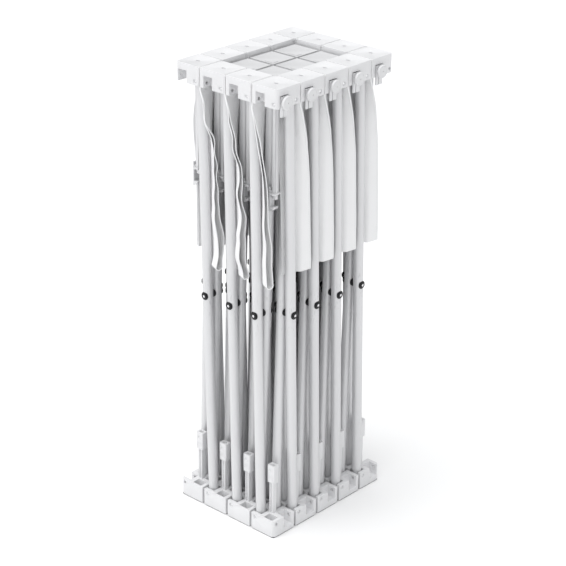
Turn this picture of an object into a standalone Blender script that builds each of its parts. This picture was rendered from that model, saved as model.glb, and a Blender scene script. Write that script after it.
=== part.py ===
# Folding display frame, folded up: a grid of hubs joined by scissor pairs of round tubes.
# Metres, +Z up. Short rows of hubs run along X, long rows along Y. The origin is on the
# ground, at the centre of the footprint.

from math import atan2, cos, pi, radians, sin

import bmesh
import bpy
from mathutils import Matrix, Vector

# Overall layout
COLUMNS = 4
ROWS = 5
HEIGHT = 0.870
HUB_GAP = 0.0055

# Hubs
HUB_HEIGHT = 0.035
SIDE_WALL = 0.00675
PLATE_THICKNESS = 0.0125
INNER_HUB_DROP = 0.0085
CORNER_RADIUS = 0.008
CORNER_SEGMENTS = 4
DIMPLE_LENGTH = 0.009
DIMPLE_WIDTH = 0.006
DIMPLE_DEPTH = 0.003

# Tubes
TUBE_DIAMETER = 0.019
TUBE_SIDES = 8
LAYER_GAP = 0.003
TUBE_PROUD = 0.00075
SLOT_CLEARANCE = 0.001
END_CLEARANCE = 0.002
PIN_DIAMETER = 0.006

# Middle bolts
BOLT_HEAD_DIAMETER = 0.013
BOLT_HEAD_HEIGHT = 0.0025
WASHER_DIAMETER = 0.015
BOLT_SIDES = 6

# Lock rods, which hang from the upper rim hubs
ROD_WIDTH = 0.0095
ROD_LENGTH = 0.162
COLLAR_WIDTH = 0.015
COLLAR_HEIGHT = 0.004
CATCH_THICKNESS = 0.003
CATCH_WIDTH = 0.012
CATCH_RISE = 0.010
CATCH_DROP = 0.034
CATCH_PRONG = 0.009

# Posts, which stand on the lower rim hubs
POST_WIDTH = 0.012
POST_LENGTH = 0.064
SOCKET_LENGTH = 0.022
SOCKET_WIDTH = 0.018
SOCKET_HEIGHT = 0.036
SOCKET_HOLE_LENGTH = 0.014
SOCKET_HOLE_WIDTH = 0.008
SOCKET_HOLE_DEPTH = 0.014

# Levelling feet, in brackets on the +X side
BRACKET_PLATE = 0.003
BRACKET_CLEARANCE = 0.002
BRACKET_DROP = 0.015
BRACKET_PROUD = 0.00125
TONGUE_CLEARANCE = 0.001
FOOT_DROP = 0.0245
FOOT_DIAMETER = 0.024
FOOT_THICKNESS = 0.005
FOOT_STANDOFF = 0.005
FOOT_STEM_DIAMETER = 0.007
FOOT_STEM_CLEARANCE = 0.00325
FOOT_SIDES = 20

# Edge ribbon
RIBBON_INSET = 0.003
RIBBON_SHIFT = 0.015
RIBBON_THICKNESS = 0.0012
RIBBON_ABOVE_BOLT = 0.065
RIBBON_CLEARANCE = 0.0015
RIBBON_TURN_DEPTH = 0.165
RIBBON_SECTIONS = 10
BAND_WIDTH = 0.016
BAND_DEPTH = 0.0058
FIT_GAP = 0.0003

# Sizes that follow from the ones above
TUBE_RADIUS = TUBE_DIAMETER / 2
LAYER_OFFSET = TUBE_RADIUS + LAYER_GAP / 2
SLOT_HALF = TUBE_RADIUS + SLOT_CLEARANCE
HALF_HUB = LAYER_OFFSET + SLOT_HALF + SIDE_WALL
PITCH = 2 * HALF_HUB + HUB_GAP
TUBE_REACH = HALF_HUB + TUBE_PROUD - TUBE_RADIUS
SLOT_FLOOR = TUBE_REACH - SLOT_HALF
TUBE_END = PLATE_THICKNESS + END_CLEARANCE
BRACKET_HALF = SLOT_HALF - BRACKET_CLEARANCE
PAD_BACK = HALF_HUB + FOOT_STANDOFF
FOOT_FACE = PAD_BACK + FOOT_THICKNESS
STEM_START = SLOT_FLOOR + BRACKET_PLATE + FOOT_STEM_CLEARANCE
GRID_SHIFT = (HALF_HUB - FOOT_FACE) / 2
CATCH_BACK = COLLAR_WIDTH / 2 + CATCH_THICKNESS
RIBBON_HALF = HALF_HUB - RIBBON_INSET
RIBBON_DROP = HEIGHT / 2 - RIBBON_ABOVE_BOLT
RIBBON_TURN = atan2(PITCH / 2 - CATCH_WIDTH / 2, CATCH_BACK + RIBBON_CLEARANCE)
TINY = 0.0005


def clear_scene():
    for item in list(bpy.data.objects):
        bpy.data.objects.remove(item, do_unlink=True)


def make_material(name, colour, roughness, metallic):
    material = bpy.data.materials.new(name)
    material.use_nodes = True
    shader = material.node_tree.nodes["Principled BSDF"]
    shader.inputs["Base Color"].default_value = (*colour, 1.0)
    shader.inputs["Roughness"].default_value = roughness
    shader.inputs["Metallic"].default_value = metallic
    return material


def hub_centre(column, row):
    x = (column - (COLUMNS - 1) / 2) * PITCH + GRID_SHIFT
    y = (row - (ROWS - 1) / 2) * PITCH
    return Vector((x, y, 0.0))


def on_rim(column, row):
    return column in (0, COLUMNS - 1) or row in (0, ROWS - 1)


# Closed shapes, each a mesh object of its own

def mesh_object(name, shape):
    bmesh.ops.recalc_face_normals(shape, faces=shape.faces)
    mesh = bpy.data.meshes.new(name)
    shape.to_mesh(mesh)
    shape.free()
    item = bpy.data.objects.new(name, mesh)
    bpy.context.collection.objects.link(item)
    return item


def extrude_outline(name, outline, low, high):
    shape = bmesh.new()
    corners = [shape.verts.new((x, y, low)) for x, y in outline]
    face = shape.faces.new(corners)
    grown = bmesh.ops.extrude_face_region(shape, geom=[face])
    raised = [part for part in grown["geom"] if isinstance(part, bmesh.types.BMVert)]
    bmesh.ops.translate(shape, verts=raised, vec=(0.0, 0.0, high - low))
    return mesh_object(name, shape)


def box(name, low, high):
    outline = [(low[0], low[1]), (high[0], low[1]), (high[0], high[1]), (low[0], high[1])]
    return extrude_outline(name, outline, low[2], high[2])


def cylinder(name, start, end, diameter, sides):
    start = Vector(start)
    axis = Vector(end) - start
    shape = bmesh.new()
    turn = axis.to_track_quat("Z", "Y").to_matrix().to_4x4()
    bmesh.ops.create_cone(
        shape, cap_ends=True, segments=sides, radius1=diameter / 2, radius2=diameter / 2,
        depth=axis.length, matrix=Matrix.Translation(start + axis / 2) @ turn)
    return mesh_object(name, shape)


def rounded_square(half, corners):
    # corners holds the (x sign, y sign) of each corner that is rounded
    points = []
    for x_sign, y_sign, start in ((1, 1, 0.0), (-1, 1, 0.5), (-1, -1, 1.0), (1, -1, 1.5)):
        if (x_sign, y_sign) not in corners:
            points.append((x_sign * half, y_sign * half))
            continue
        middle = half - CORNER_RADIUS
        for step in range(CORNER_SEGMENTS + 1):
            angle = pi * (start + 0.5 * step / CORNER_SEGMENTS)
            points.append((x_sign * middle + CORNER_RADIUS * cos(angle),
                           y_sign * middle + CORNER_RADIUS * sin(angle)))
    return points


def oval(length, width, steps=3):
    # A slot with round ends, its length along X
    straight = (length - width) / 2
    points = []
    for side, start in ((1, -0.5), (-1, 0.5)):
        for step in range(steps + 1):
            angle = pi * (start + step / steps)
            points.append((side * straight + width / 2 * cos(angle), width / 2 * sin(angle)))
    return points


# Boolean steps: each one consumes the shapes it is given

def combine(target, others, operation):
    for other in others:
        step = target.modifiers.new("step", "BOOLEAN")
        step.operation = operation
        step.solver = "EXACT"
        step.object = other
    bpy.context.view_layer.update()
    depsgraph = bpy.context.evaluated_depsgraph_get()
    result = bpy.data.meshes.new_from_object(target.evaluated_get(depsgraph))
    target.modifiers.clear()
    target.data = result
    for other in others:
        bpy.data.objects.remove(other, do_unlink=True)
    return target


def finish_node(item, name, material, smooth=True):
    item.name = name
    item.data.name = name
    item.data.materials.clear()
    item.data.materials.append(material)
    if smooth:
        item.data.shade_smooth()
        item.data.set_sharp_from_angle(angle=radians(35))
    return item


def flip(item):
    # Half a turn about X, the way the lower hubs lie
    item.data.transform(Matrix.Rotation(pi, 4, "X"))
    return item


def move(item, offset):
    item.data.transform(Matrix.Translation(offset))
    return item


# Hubs, modelled with the outer face at z = 0 and the hub below it

def slot_cutters():
    # Four tube slots, each beside the next like the blades of a pinwheel
    cutters = []
    for quarter in range(4):
        cutter = box(
            "slot", (SLOT_FLOOR, -LAYER_OFFSET - SLOT_HALF, -HUB_HEIGHT - TINY),
            (HALF_HUB + TINY, -LAYER_OFFSET + SLOT_HALF, -PLATE_THICKNESS))
        cutter.data.transform(Matrix.Rotation(quarter * pi / 2, 4, "Z"))
        cutters.append(cutter)
    return cutters


def band_cutters(column, row):
    # The passage for the ribbon's band, towards each neighbour on the rim
    half = BAND_WIDTH / 2 + FIT_GAP
    top = -BAND_DEPTH + FIT_GAP
    bottom = -BAND_DEPTH - RIBBON_THICKNESS - FIT_GAP
    reach = HALF_HUB + TINY
    x_reach = [0, 0]
    y_reach = [0, 0]
    if row in (0, ROWS - 1):
        x_reach = [-reach if column > 0 else -half, reach if column < COLUMNS - 1 else half]
    if column in (0, COLUMNS - 1):
        y_reach = [-reach if row > 0 else -half, reach if row < ROWS - 1 else half]
    cutters = []
    if any(x_reach):
        cutters.append(box("passage", (x_reach[0], -half, bottom), (x_reach[1], half, top)))
    if any(y_reach):
        cutters.append(box("passage", (-half, y_reach[0], bottom), (half, y_reach[1], top)))
    return cutters


def rim_corners(column, row):
    x_sign = {0: -1, COLUMNS - 1: 1}.get(column)
    y_sign = {0: -1, ROWS - 1: 1}.get(row)
    return {(x_sign, y_sign)} if x_sign and y_sign else set()


def hub_body(corners, top=0.0):
    outline = rounded_square(HALF_HUB, corners)
    return extrude_outline("hub", outline, -HUB_HEIGHT, top)


def lock_rod():
    collar = COLLAR_WIDTH / 2
    rod_end = -HUB_HEIGHT - ROD_LENGTH
    nose = rod_end - CATCH_DROP
    rod = box("rod", (-ROD_WIDTH / 2, -ROD_WIDTH / 2, rod_end),
              (ROD_WIDTH / 2, ROD_WIDTH / 2, -HUB_HEIGHT + TINY))
    ring = box("collar", (-collar, -collar, rod_end - COLLAR_HEIGHT), (collar, collar, rod_end + TINY))
    back = box("catch", (-CATCH_BACK, -CATCH_WIDTH / 2, nose),
               (-collar + TINY, CATCH_WIDTH / 2, rod_end + CATCH_RISE))
    prong = box("prong", (-collar - CATCH_THICKNESS / 2, -CATCH_WIDTH / 2 + TINY, nose - TINY),
                (-collar + CATCH_PRONG, CATCH_WIDTH / 2 - TINY, nose + CATCH_THICKNESS))
    return [rod, ring, back, prong]


def foot_bracket():
    # Two plates on a web, held in the hub's +X slot, and a tongue that hangs in front of them
    middle = -LAYER_OFFSET
    top = -TUBE_END
    web_back = SLOT_FLOOR - BRACKET_PLATE
    pieces = [box("web", (web_back, middle - BRACKET_HALF + TINY, -HUB_HEIGHT + BRACKET_PLATE),
                  (SLOT_FLOOR + BRACKET_PLATE, middle + BRACKET_HALF - TINY, top - TINY))]
    for side in (-1, 1):
        near = middle + side * BRACKET_HALF
        far = near - side * BRACKET_PLATE
        pieces.append(box("plate", (SLOT_FLOOR + TINY, min(near, far), -HUB_HEIGHT),
                          (HALF_HUB, max(near, far), top)))
    front = HALF_HUB + BRACKET_PROUD
    tongue_top = -FOOT_DROP - FOOT_STEM_DIAMETER / 2 - TONGUE_CLEARANCE
    pieces.append(box(
        "tongue", (front - BRACKET_PLATE, middle - BRACKET_HALF + TINY, -HUB_HEIGHT - BRACKET_DROP),
        (front, middle + BRACKET_HALF - TINY, tongue_top)))
    return pieces


def build_upper_hubs(plastic):
    for column in range(COLUMNS):
        for row in range(ROWS):
            place = hub_centre(column, row) + Vector((0.0, 0.0, HEIGHT))
            if on_rim(column, row):
                hub = hub_body(rim_corners(column, row))
                dimple = extrude_outline("dimple", oval(DIMPLE_LENGTH, DIMPLE_WIDTH), -DIMPLE_DEPTH, TINY)
                cutters = [dimple] + slot_cutters() + band_cutters(column, row)
                combine(hub, cutters, "DIFFERENCE")
                pieces = lock_rod()
                if column == COLUMNS - 1:
                    pieces += foot_bracket()
                combine(hub, pieces, "UNION")
                name = f"upper_hub_{column + 1}_{row + 1}"
            else:
                hub = combine(hub_body(set(), -INNER_HUB_DROP), slot_cutters(), "DIFFERENCE")
                name = f"upper_inner_hub_{column + 1}_{row + 1}"
            finish_node(move(hub, place), name, plastic)


def lower_hub(corners):
    flipped = {(x_sign, -y_sign) for x_sign, y_sign in corners}
    return flip(combine(hub_body(flipped), slot_cutters(), "DIFFERENCE"))


def socket_post():
    post_top = HUB_HEIGHT + POST_LENGTH
    post = box("post", (-POST_WIDTH / 2, -POST_WIDTH / 2, HUB_HEIGHT - TINY),
               (POST_WIDTH / 2, POST_WIDTH / 2, post_top + TINY))
    block = box("socket", (-SOCKET_LENGTH / 2, -SOCKET_WIDTH / 2, post_top),
                (SOCKET_LENGTH / 2, SOCKET_WIDTH / 2, post_top + SOCKET_HEIGHT))
    mouth = post_top + SOCKET_HEIGHT
    hole = extrude_outline("hole", oval(SOCKET_HOLE_LENGTH, SOCKET_HOLE_WIDTH),
                           mouth - SOCKET_HOLE_DEPTH, mouth + TINY)
    combine(block, [hole], "DIFFERENCE")
    return [post, block]


def build_lower_rim_hubs(plastic):
    for column in range(COLUMNS):
        for row in range(ROWS):
            if on_rim(column, row):
                hub = lower_hub(rim_corners(column, row))
                combine(hub, socket_post(), "UNION")
                move(hub, hub_centre(column, row))
                finish_node(hub, f"lower_hub_{column + 1}_{row + 1}", plastic)


# Scissor pairs. The first tube of a pair runs from the upper hub at the start of the gap to
# the lower hub at its end, the second tube the other way, in the layer beside it.

def scissor_pieces(start, along, side):
    near = start + along * TUBE_REACH
    far = start + along * (PITCH - TUBE_REACH)
    up = Vector((0.0, 0.0, HEIGHT - TUBE_END))
    down = Vector((0.0, 0.0, TUBE_END))
    first = side * LAYER_OFFSET
    second = -first
    middle = start + along * (PITCH / 2) + Vector((0.0, 0.0, HEIGHT / 2))
    face = side * (LAYER_OFFSET + TUBE_RADIUS)
    head = face + side * BOLT_HEAD_HEIGHT
    return [
        cylinder("tube", near + first + up, far + first + down, TUBE_DIAMETER, TUBE_SIDES),
        cylinder("tube", far + second + up, near + second + down, TUBE_DIAMETER, TUBE_SIDES),
        cylinder("washer", middle + first / 2, middle - first / 2, WASHER_DIAMETER, BOLT_SIDES),
        cylinder("head", middle + first, middle + head, BOLT_HEAD_DIAMETER, BOLT_SIDES),
        cylinder("nut", middle - first, middle - head, BOLT_HEAD_DIAMETER, BOLT_SIDES)]


SHORT_WAY = (Vector((1.0, 0.0, 0.0)), Vector((0.0, -1.0, 0.0)))
LONG_WAY = (Vector((0.0, 1.0, 0.0)), Vector((1.0, 0.0, 0.0)))


def build_rim_scissors(aluminium):
    for column in range(COLUMNS - 1):
        for row in (0, ROWS - 1):
            pieces = scissor_pieces(hub_centre(column, row), *SHORT_WAY)
            pair = combine(pieces[0], pieces[1:], "UNION")
            finish_node(pair, f"short_scissor_{column + 1}_{row + 1}", aluminium)
    for row in range(ROWS - 1):
        for column in (0, COLUMNS - 1):
            pieces = scissor_pieces(hub_centre(column, row), *LONG_WAY)
            pair = combine(pieces[0], pieces[1:], "UNION")
            finish_node(pair, f"long_scissor_{column + 1}_{row + 1}", aluminium)


def foot_pin(hub, along, side, at_start):
    # Holds a tube's lower end in its slot; at_start tells which end of the gap the hub is at
    layer = -side if at_start else side
    reach = along * (TUBE_REACH if at_start else -TUBE_REACH)
    half = side * (SLOT_HALF + END_CLEARANCE)
    middle = hub + reach + layer * LAYER_OFFSET + Vector((0.0, 0.0, (TUBE_END + HUB_HEIGHT) / 2))
    return cylinder("pin", middle - half, middle + half, PIN_DIAMETER, BOLT_SIDES)


def inner_gaps(column, row):
    # The gaps whose scissors are carried by this inner lower hub: (way, starts at this hub)
    gaps = [(SHORT_WAY, True), (LONG_WAY, True)]
    if column == 1:
        gaps.append((SHORT_WAY, False))
    if row == 1:
        gaps.append((LONG_WAY, False))
    return gaps


def build_inner_columns(plastic):
    # Each inner lower hub is one piece with the scissor pairs that stand in it
    for column in range(1, COLUMNS - 1):
        for row in range(1, ROWS - 1):
            centre = hub_centre(column, row)
            body = move(lower_hub(set()), centre)
            pieces = []
            for (along, side), at_start in inner_gaps(column, row):
                start = centre if at_start else centre - along * PITCH
                pieces += scissor_pieces(start, along, side)
                pieces.append(foot_pin(centre, along, side, at_start))
            combine(body, pieces, "UNION")
            finish_node(body, f"inner_column_{column + 1}_{row + 1}", plastic)


# Levelling feet: a round pad on a threaded stem, its origin on the stem's axis

def build_feet(plastic):
    for row in range(ROWS):
        stem = cylinder("stem", (STEM_START, 0.0, 0.0), (PAD_BACK + TINY, 0.0, 0.0),
                        FOOT_STEM_DIAMETER, FOOT_SIDES // 2)
        pad = cylinder("pad", (PAD_BACK, 0.0, 0.0), (FOOT_FACE, 0.0, 0.0), FOOT_DIAMETER, FOOT_SIDES)
        combine(pad, [stem], "UNION")
        finish_node(pad, f"foot_{row + 1}", plastic)
        pad.location = hub_centre(COLUMNS - 1, row) + Vector((0.0, -LAYER_OFFSET, HEIGHT - FOOT_DROP))


# Edge ribbon: a band that runs round the rim through the hubs, with a loop in every gap

def ribbon_loop(middle, outward):
    # Straight between its two hubs, then turned and moved outwards as it hangs free
    shape = bmesh.new()
    depths = [(TINY, 0.0), (HUB_HEIGHT, 0.0)]
    for step in range(1, RIBBON_SECTIONS + 1):
        share = step / RIBBON_SECTIONS
        depths.append((HUB_HEIGHT + RIBBON_TURN_DEPTH * share, 1 - (1 - share) ** 3))
    depths.append((RIBBON_DROP, 1.0))
    rings = []
    for depth, turned in depths:
        wide = Matrix.Rotation(RIBBON_TURN * turned, 3, "Z") @ outward
        thick = wide.cross(Vector((0.0, 0.0, 1.0))) * (RIBBON_THICKNESS / 2)
        level = middle + Vector((0.0, 0.0, HEIGHT - depth))
        outer = level + wide * (RIBBON_SHIFT * turned + RIBBON_HALF)
        inner = level + wide * (RIBBON_SHIFT * turned - RIBBON_HALF)
        front = [outer + thick, level + thick, inner + thick]
        back = [inner - thick, level - thick, outer - thick]
        rings.append([shape.verts.new(corner) for corner in front + back])
    shape.faces.new(rings[0])
    shape.faces.new(rings[-1][::-1])
    for upper, lower in zip(rings, rings[1:]):
        for start, end in ((5, 0), (2, 3)):
            shape.faces.new((upper[start], upper[end], lower[end], lower[start]))
        # The broad faces crease from their middle line out to the edges, away from the tubes
        for centre, edge in ((1, 0), (1, 2), (4, 5), (4, 3)):
            shape.faces.new((upper[centre], upper[edge], lower[edge]))
            shape.faces.new((upper[centre], lower[edge], lower[centre]))
    return mesh_object("loop", shape)


def rim_gaps():
    # The middle of each gap on the rim, and the way out from it
    gaps = []
    for column in range(COLUMNS - 1):
        for row, out in ((0, -1.0), (ROWS - 1, 1.0)):
            middle = (hub_centre(column, row) + hub_centre(column + 1, row)) / 2
            gaps.append((middle, Vector((0.0, out, 0.0))))
    for row in range(ROWS - 1):
        for column, out in ((0, -1.0), (COLUMNS - 1, 1.0)):
            middle = (hub_centre(column, row) + hub_centre(column, row + 1)) / 2
            gaps.append((middle, Vector((out, 0.0, 0.0))))
    return gaps


def build_ribbon(fabric):
    low = hub_centre(0, 0)
    high = hub_centre(COLUMNS - 1, ROWS - 1)
    half = BAND_WIDTH / 2
    bottom = HEIGHT - BAND_DEPTH - RIBBON_THICKNESS
    top = HEIGHT - BAND_DEPTH
    band = box("band", (low.x - half, low.y - half, bottom), (high.x + half, high.y + half, top))
    hollow = box("hollow", (low.x + half, low.y + half, bottom - TINY),
                 (high.x - half, high.y - half, top + TINY))
    combine(band, [hollow], "DIFFERENCE")
    loops = [ribbon_loop(middle, outward) for middle, outward in rim_gaps()]
    combine(band, loops, "UNION")
    finish_node(band, "edge_ribbon", fabric)


def main():
    clear_scene()
    hub_plastic = make_material("hub_plastic", (0.66, 0.66, 0.68), 0.5, 0.0)
    aluminium = make_material("tube_aluminium", (0.68, 0.68, 0.70), 0.38, 0.35)
    foot_plastic = make_material("foot_plastic", (0.60, 0.60, 0.62), 0.5, 0.0)
    fabric = make_material("ribbon_fabric", (0.90, 0.90, 0.91), 0.9, 0.0)
    build_upper_hubs(hub_plastic)
    build_lower_rim_hubs(hub_plastic)
    build_rim_scissors(aluminium)
    build_inner_columns(aluminium)
    build_feet(foot_plastic)
    build_ribbon(fabric)


main()
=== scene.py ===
# A folding display frame, folded into its bundle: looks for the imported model.
from math import atan2, cos, pi, radians, sin

import bmesh
import bpy
from mathutils import Matrix, Vector, noise


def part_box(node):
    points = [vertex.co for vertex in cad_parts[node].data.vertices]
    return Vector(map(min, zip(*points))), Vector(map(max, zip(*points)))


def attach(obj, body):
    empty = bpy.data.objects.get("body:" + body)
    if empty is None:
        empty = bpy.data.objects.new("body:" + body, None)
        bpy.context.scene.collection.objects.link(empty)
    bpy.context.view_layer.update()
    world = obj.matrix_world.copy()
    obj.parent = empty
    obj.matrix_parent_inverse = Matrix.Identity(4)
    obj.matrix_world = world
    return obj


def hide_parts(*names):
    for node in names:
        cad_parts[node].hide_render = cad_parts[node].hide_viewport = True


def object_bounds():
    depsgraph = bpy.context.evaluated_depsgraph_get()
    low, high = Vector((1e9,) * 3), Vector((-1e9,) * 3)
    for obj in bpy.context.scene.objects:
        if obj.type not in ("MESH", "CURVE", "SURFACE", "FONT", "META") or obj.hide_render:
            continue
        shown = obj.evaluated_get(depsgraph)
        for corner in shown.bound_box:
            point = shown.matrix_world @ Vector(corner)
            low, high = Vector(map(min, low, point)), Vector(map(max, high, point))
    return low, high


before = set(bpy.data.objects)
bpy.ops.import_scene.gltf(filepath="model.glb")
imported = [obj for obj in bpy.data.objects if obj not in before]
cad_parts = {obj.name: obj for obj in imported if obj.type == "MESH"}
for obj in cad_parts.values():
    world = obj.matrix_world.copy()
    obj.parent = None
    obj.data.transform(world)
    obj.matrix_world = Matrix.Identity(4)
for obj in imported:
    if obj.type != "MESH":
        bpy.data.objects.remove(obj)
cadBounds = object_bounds()

# ---- where things are, read from the frame

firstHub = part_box("lower_hub_1_1")
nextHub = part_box("lower_hub_2_1")
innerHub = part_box("upper_inner_hub_2_2")
placesOfNodes = [name.split("_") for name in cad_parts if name.startswith("lower_hub")]
columns = max(int(words[2]) for words in placesOfNodes)
rows = max(int(words[3]) for words in placesOfNodes)
pitch = nextHub[0].x - firstHub[0].x
hubWidth = firstHub[1].x - firstHub[0].x
halfHub = hubWidth / 2
top = cadBounds[1].z
hubHeight = top - innerHub[0].z
innerDrop = top - innerHub[1].z
gridMiddle = Vector(((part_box("lower_hub_1_1")[0].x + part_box(f"lower_hub_{columns}_1")[1].x) / 2,
                     (firstHub[0].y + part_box(f"lower_hub_1_{rows}")[1].y) / 2, 0.0))
up = Vector((0.0, 0.0, 1.0))
shortWay = (Vector((1.0, 0.0, 0.0)), Vector((0.0, -1.0, 0.0)))
longWay = (Vector((0.0, 1.0, 0.0)), Vector((1.0, 0.0, 0.0)))


def hubCentre(column, row):
    return gridMiddle + Vector(((column - (columns - 1) / 2) * pitch, (row - (rows - 1) / 2) * pitch, 0.0))


def onRim(column, row):
    return column in (0, columns - 1) or row in (0, rows - 1)


def gridPlaces(rim=None):
    places = [(column, row) for column in range(columns) for row in range(rows)]
    return [place for place in places if rim is None or onRim(*place) == rim]


def allGaps():
    # every scissor pair: the hub it starts at, the way along and the way out of its first layer
    gaps = [(hubCentre(c, r), *shortWay) for c in range(columns - 1) for r in range(rows)]
    return gaps + [(hubCentre(c, r), *longWay) for c in range(columns) for r in range(rows - 1)]


# ---- finishes

class Value:
    # a number that varies over a surface, so that shader maths reads as an expression
    def __init__(self, finish, socket):
        self.finish = finish
        self.socket = socket

    def maths(self, operation, *others):
        settings = {"operation": operation}
        made = self.finish.node("ShaderNodeMath", settings, [self, *others])
        return Value(self.finish, made.outputs[0])

    def reflected(self, operation, other):
        made = self.finish.node("ShaderNodeMath", {"operation": operation}, [other, self])
        return Value(self.finish, made.outputs[0])

    def __add__(self, other):
        return self.maths("ADD", other)

    def __radd__(self, other):
        return self.reflected("ADD", other)

    def __sub__(self, other):
        return self.maths("SUBTRACT", other)

    def __rsub__(self, other):
        return self.reflected("SUBTRACT", other)

    def __mul__(self, other):
        return self.maths("MULTIPLY", other)

    def __rmul__(self, other):
        return self.reflected("MULTIPLY", other)

    def __truediv__(self, other):
        return self.maths("DIVIDE", other)

    def sine(self):
        return self.maths("SINE")

    def size(self):
        return self.maths("ABSOLUTE")

    def between(self, low, high):
        # 0 below low, 1 above high, smooth between
        settings = {"interpolation_type": "SMOOTHSTEP"}
        sockets = {"Value": self, "From Min": low, "From Max": high}
        made = self.finish.node("ShaderNodeMapRange", settings, sockets)
        return Value(self.finish, made.outputs["Result"])


class Finish:
    def __init__(self, name, colour, roughness, metallic=0.0, **constants):
        self.material = bpy.data.materials.new(name)
        self.material.use_nodes = True
        self.tree = self.material.node_tree
        self.shader = self.tree.nodes["Principled BSDF"]
        self.shader.inputs["Base Color"].default_value = (*colour, 1.0)
        self.shader.inputs["Roughness"].default_value = roughness
        self.shader.inputs["Metallic"].default_value = metallic
        for socket, value in constants.items():
            self.shader.inputs[socket.replace("_", " ")].default_value = value
        self.colour = colour
        self.where = self.node("ShaderNodeTexCoord").outputs["Object"]

    def node(self, kind, settings=None, sockets=None):
        made = self.tree.nodes.new(kind)
        for key, value in (settings or {}).items():
            setattr(made, key, value)
        pairs = sockets.items() if isinstance(sockets, dict) else enumerate(sockets or [])
        for key, value in pairs:
            self.put(made.inputs[key], value)
        return made

    def put(self, socket, value):
        value = value.socket if isinstance(value, Value) else value
        if isinstance(value, bpy.types.NodeSocket):
            self.tree.links.new(value, socket)
        else:
            socket.default_value = value

    def noise(self, scale, detail=3.0, stretch=(1.0, 1.0, 1.0), at=None):
        placed = self.node("ShaderNodeMapping", None, {"Vector": at or self.where, "Scale": stretch})
        sockets = {"Vector": placed.outputs[0], "Scale": scale, "Detail": detail}
        return Value(self, self.node("ShaderNodeTexNoise", None, sockets).outputs["Fac"])

    def axis(self, index, at=None):
        made = self.node("ShaderNodeSeparateXYZ", None, [at or self.where])
        return Value(self, made.outputs[index])

    def mix(self, factor, first, second):
        made = self.node("ShaderNodeMix", {"data_type": "RGBA"}, {0: factor})
        for index, value in ((6, first), (7, second)):
            self.put(made.inputs[index], (*value, 1.0) if isinstance(value, tuple) else value)
        return made.outputs[2]

    def shade(self, **sockets):
        for socket, value in sockets.items():
            self.put(self.shader.inputs[socket.replace("_", " ")], value)

    def bump(self, height, strength, distance):
        sockets = {"Height": height, "Strength": strength, "Distance": distance}
        self.shade(Normal=self.node("ShaderNodeBump", None, sockets).outputs[0])


def darker(colour, share):
    return tuple(channel * share for channel in colour)


mouldedPlastic = {"colour": (0.75, 0.75, 0.76), "rubbed": (0.81, 0.81, 0.82), "grain": 1700.0,
                  "grainDepth": 0.00006, "roughness": 0.43}


def makeMouldedPlastic(name, values, toneAndShade=1.0):
    # the share darkens the whole colour: a real tone for the feet, painted shade for the inner hubs
    finish = Finish(name, darker(values["colour"], toneAndShade), values["roughness"], IOR=1.5)
    grain = finish.noise(values["grain"], 2.0)
    flow = finish.noise(38.0, 4.0, (1.0, 1.0, 0.35))
    cloud = finish.noise(9.0, 2.0)
    speck = finish.noise(620.0, 1.0).between(0.66, 0.74)
    base = finish.mix(flow.between(0.3, 0.75) * 0.55,
                      darker(finish.colour, 0.965), darker(finish.colour, 1.03))
    base = finish.mix(cloud.between(0.45, 0.8) * 0.25, base, darker(values["rubbed"], toneAndShade))
    base = finish.mix(speck * 0.10, base, darker(finish.colour, 0.72))
    finish.shade(Base_Color=base, Roughness=0.36 + flow * 0.12 + grain * 0.08)
    finish.bump(grain * 0.7 + flow * 0.5, 0.35, values["grainDepth"])
    return finish.material


powderCoat = {"colour": (0.69, 0.69, 0.70), "peel": 900.0, "peelDepth": 0.00005,
              "scuff": (0.50, 0.50, 0.51), "roughness": 0.34}


def makePowderCoat(values):
    finish = Finish("powderCoatedTube", values["colour"], values["roughness"], 0.25, Coat_Weight=0.15)
    peel = finish.noise(values["peel"], 2.0)
    drawn = finish.noise(260.0, 3.0, (1.0, 1.0, 0.02))
    height = finish.axis(2)
    # the tubes rub each other by the middle bolt, and the hubs at both ends
    middle = 1 - (height - top / 2).size().between(0.012, 0.05)
    ends = (height - top / 2).size().between(top / 2 - hubHeight - 0.03, top / 2 - hubHeight)
    scratch = finish.noise(520.0, 4.0, (1.0, 1.0, 0.18)).between(0.56, 0.68)
    worn = scratch * (middle * 0.6 + ends * 0.35 + 0.06)
    soft = finish.noise(14.0, 3.0, (1.0, 1.0, 0.3)).between(0.35, 0.75)
    base = finish.mix(soft * 0.5, darker(values["colour"], 0.975), darker(values["colour"], 1.02))
    base = finish.mix(worn, base, values["scuff"])
    finish.shade(Base_Color=base, Roughness=0.30 + drawn * 0.10 + worn * 0.2, Metallic=0.22 + worn * 0.4)
    finish.bump(peel * 0.6 + drawn * 0.5, 0.3, values["peelDepth"])
    return finish.material


def makeBlackSteel():
    finish = Finish("blackenedSteel", (0.022, 0.022, 0.024), 0.38, 0.55)
    mottle = finish.noise(420.0, 4.0)
    rubbed = finish.noise(180.0, 3.0).between(0.58, 0.72)
    base = finish.mix(rubbed * 0.45, (0.018, 0.018, 0.02), (0.10, 0.10, 0.105))
    finish.shade(Base_Color=base, Roughness=0.30 + mottle * 0.22, Metallic=0.45 + rubbed * 0.4)
    finish.bump(mottle, 0.25, 0.00004)
    return finish.material


def makeBrightSteel():
    finish = Finish("brightSteel", (0.72, 0.72, 0.73), 0.22, 1.0)
    turned = finish.noise(900.0, 2.0, (1.0, 1.0, 0.15))
    stain = finish.noise(160.0, 3.0).between(0.5, 0.8)
    base = finish.mix(stain * 0.4, (0.78, 0.78, 0.79), (0.52, 0.52, 0.53))
    finish.shade(Base_Color=base, Roughness=0.18 + turned * 0.16)
    finish.bump(turned, 0.2, 0.00003)
    return finish.material


# dark rubber for the pads under the hubs; the pads are also a painted shadow line under each hub
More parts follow.
